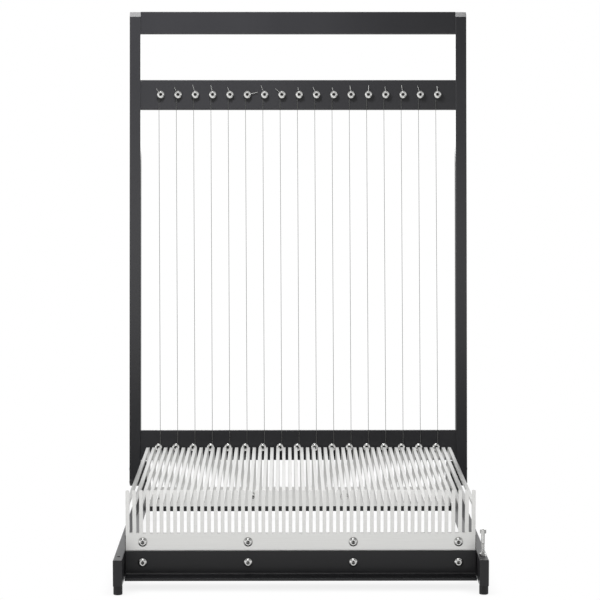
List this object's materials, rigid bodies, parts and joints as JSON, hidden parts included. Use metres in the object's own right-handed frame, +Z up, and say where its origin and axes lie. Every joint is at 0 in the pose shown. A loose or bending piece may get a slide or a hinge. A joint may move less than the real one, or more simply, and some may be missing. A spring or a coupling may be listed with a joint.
{
  "type": "confectionery wire cutter",
  "caption": "Table-top wire slicer: a hinged black frame strung with steel wires swings down through the slots of a stainless table to cut cake, ganache or cheese.",
  "frame": {"origin": "on the surface it stands on, under the middle of the whole slicer with the frame open", "axes": "+X to the right as seen from the front, +Y to the rear where the hinge is, +Z up"},
  "size_m": [0.4398, 0.5866, 0.6457],
  "materials": {
    "black_paint": "fine satin powder coat, black",
    "stainless_sheet": "brushed stainless sheet",
    "screw_steel": "bright stainless fastener",
    "wire_steel": "drawn stainless wire",
    "black_screw": "black oxide steel",
    "rubber": "moulded black rubber",
    "nylon": "plain white nylon"
  },
  "bodies": {
    "base": {"left_side_rail": "black_paint", "right_side_rail": "black_paint", "front_beam": "black_paint", "rear_beam": "black_paint", "rail_screws": "black_screw", "slotted_table": "stainless_sheet", "front_fence": "stainless_sheet", "front_cover": "black_paint", "fence_screws": "screw_steel", "cover_screws": "screw_steel", "rear_table_screws": "screw_steel", "front_left_foot": "rubber", "front_right_foot": "rubber", "rear_left_foot": "rubber", "rear_right_foot": "rubber", "foot_screws": "black_screw", "stop_locknut": "screw_steel", "left_pivot_pin": "screw_steel", "right_pivot_pin": "screw_steel", "left_pivot_washer": "nylon", "right_pivot_washer": "nylon"},
    "frame": {"left_upright": "black_paint", "right_upright": "black_paint", "handle_bar": "black_paint", "tuning_bar": "black_paint", "anchor_bar": "black_paint", "bar_screws": "black_screw", "left_limit_pin": "screw_steel", "right_limit_pin": "screw_steel", "anchor_screws": "screw_steel", "cutting_wires": "wire_steel"},
    "stop": {"stop_screw": "screw_steel"},
    "tension_01": {"tension_screw_01": "screw_steel"},
    "tension_02": {"tension_screw_02": "screw_steel"},
    "tension_03": {"tension_screw_03": "screw_steel"},
    "tension_04": {"tension_screw_04": "screw_steel"},
    "tension_05": {"tension_screw_05": "screw_steel"},
    "tension_06": {"tension_screw_06": "screw_steel"},
    "tension_07": {"tension_screw_07": "screw_steel"},
    "tension_08": {"tension_screw_08": "screw_steel"},
    "tension_09": {"tension_screw_09": "screw_steel"},
    "tension_10": {"tension_screw_10": "screw_steel"},
    "tension_11": {"tension_screw_11": "screw_steel"},
    "tension_12": {"tension_screw_12": "screw_steel"},
    "tension_13": {"tension_screw_13": "screw_steel"},
    "tension_14": {"tension_screw_14": "screw_steel"},
    "tension_15": {"tension_screw_15": "screw_steel"},
    "tension_16": {"tension_screw_16": "screw_steel"},
    "tension_17": {"tension_screw_17": "screw_steel"}
  },
  "joints": [
    {"name": "frame_hinge", "type": "hinge", "parent": "base", "child": "frame", "pos_m": [0, 0.21805, 0.0537], "axis": [1, 0, 0], "range_deg": [0, 93.75]},
    {"name": "stop_height", "type": "slide", "parent": "base", "child": "stop", "axis": [0, 0, 1], "range_m": [-0.01, 0]},
    {"name": "tension_turn_01", "type": "hinge", "parent": "frame", "child": "tension_01", "pos_m": [-0.1786, 0.26449, 0.53813], "axis": [0, -0.994, 0.1097], "range_deg": [-30, 30]},
    {"name": "tension_turn_02", "type": "hinge", "parent": "frame", "child": "tension_02", "pos_m": [-0.1561, 0.26449, 0.53813], "axis": [0, -0.994, 0.1097], "range_deg": [-30, 30]},
    {"name": "tension_turn_03", "type": "hinge", "parent": "frame", "child": "tension_03", "pos_m": [-0.1336, 0.26449, 0.53813], "axis": [0, -0.994, 0.1097], "range_deg": [-30, 30]},
    {"name": "tension_turn_04", "type": "hinge", "parent": "frame", "child": "tension_04", "pos_m": [-0.1111, 0.26449, 0.53813], "axis": [0, -0.994, 0.1097], "range_deg": [-30, 30]},
    {"name": "tension_turn_05", "type": "hinge", "parent": "frame", "child": "tension_05", "pos_m": [-0.0886, 0.26449, 0.53813], "axis": [0, -0.994, 0.1097], "range_deg": [-30, 30]},
    {"name": "tension_turn_06", "type": "hinge", "parent": "frame", "child": "tension_06", "pos_m": [-0.0661, 0.26449, 0.53813], "axis": [0, -0.994, 0.1097], "range_deg": [-30, 30]},
    {"name": "tension_turn_07", "type": "hinge", "parent": "frame", "child": "tension_07", "pos_m": [-0.0436, 0.26449, 0.53813], "axis": [0, -0.994, 0.1097], "range_deg": [-30, 30]},
    {"name": "tension_turn_08", "type": "hinge", "parent": "frame", "child": "tension_08", "pos_m": [-0.0211, 0.26449, 0.53813], "axis": [0, -0.994, 0.1097], "range_deg": [-30, 30]},
    {"name": "tension_turn_09", "type": "hinge", "parent": "frame", "child": "tension_09", "pos_m": [0.0014, 0.26449, 0.53813], "axis": [0, -0.994, 0.1097], "range_deg": [-30, 30]},
    {"name": "tension_turn_10", "type": "hinge", "parent": "frame", "child": "tension_10", "pos_m": [0.0239, 0.26449, 0.53813], "axis": [0, -0.994, 0.1097], "range_deg": [-30, 30]},
    {"name": "tension_turn_11", "type": "hinge", "parent": "frame", "child": "tension_11", "pos_m": [0.0464, 0.26449, 0.53813], "axis": [0, -0.994, 0.1097], "range_deg": [-30, 30]},
    {"name": "tension_turn_12", "type": "hinge", "parent": "frame", "child": "tension_12", "pos_m": [0.0689, 0.26449, 0.53813], "axis": [0, -0.994, 0.1097], "range_deg": [-30, 30]},
    {"name": "tension_turn_13", "type": "hinge", "parent": "frame", "child": "tension_13", "pos_m": [0.0914, 0.26449, 0.53813], "axis": [0, -0.994, 0.1097], "range_deg": [-30, 30]},
    {"name": "tension_turn_14", "type": "hinge", "parent": "frame", "child": "tension_14", "pos_m": [0.1139, 0.26449, 0.53813], "axis": [0, -0.994, 0.1097], "range_deg": [-30, 30]},
    {"name": "tension_turn_15", "type": "hinge", "parent": "frame", "child": "tension_15", "pos_m": [0.1364, 0.26449, 0.53813], "axis": [0, -0.994, 0.1097], "range_deg": [-30, 30]},
    {"name": "tension_turn_16", "type": "hinge", "parent": "frame", "child": "tension_16", "pos_m": [0.1589, 0.26449, 0.53813], "axis": [0, -0.994, 0.1097], "range_deg": [-30, 30]},
    {"name": "tension_turn_17", "type": "hinge", "parent": "frame", "child": "tension_17", "pos_m": [0.1814, 0.26449, 0.53813], "axis": [0, -0.994, 0.1097], "range_deg": [-30, 30]}
  ]
}
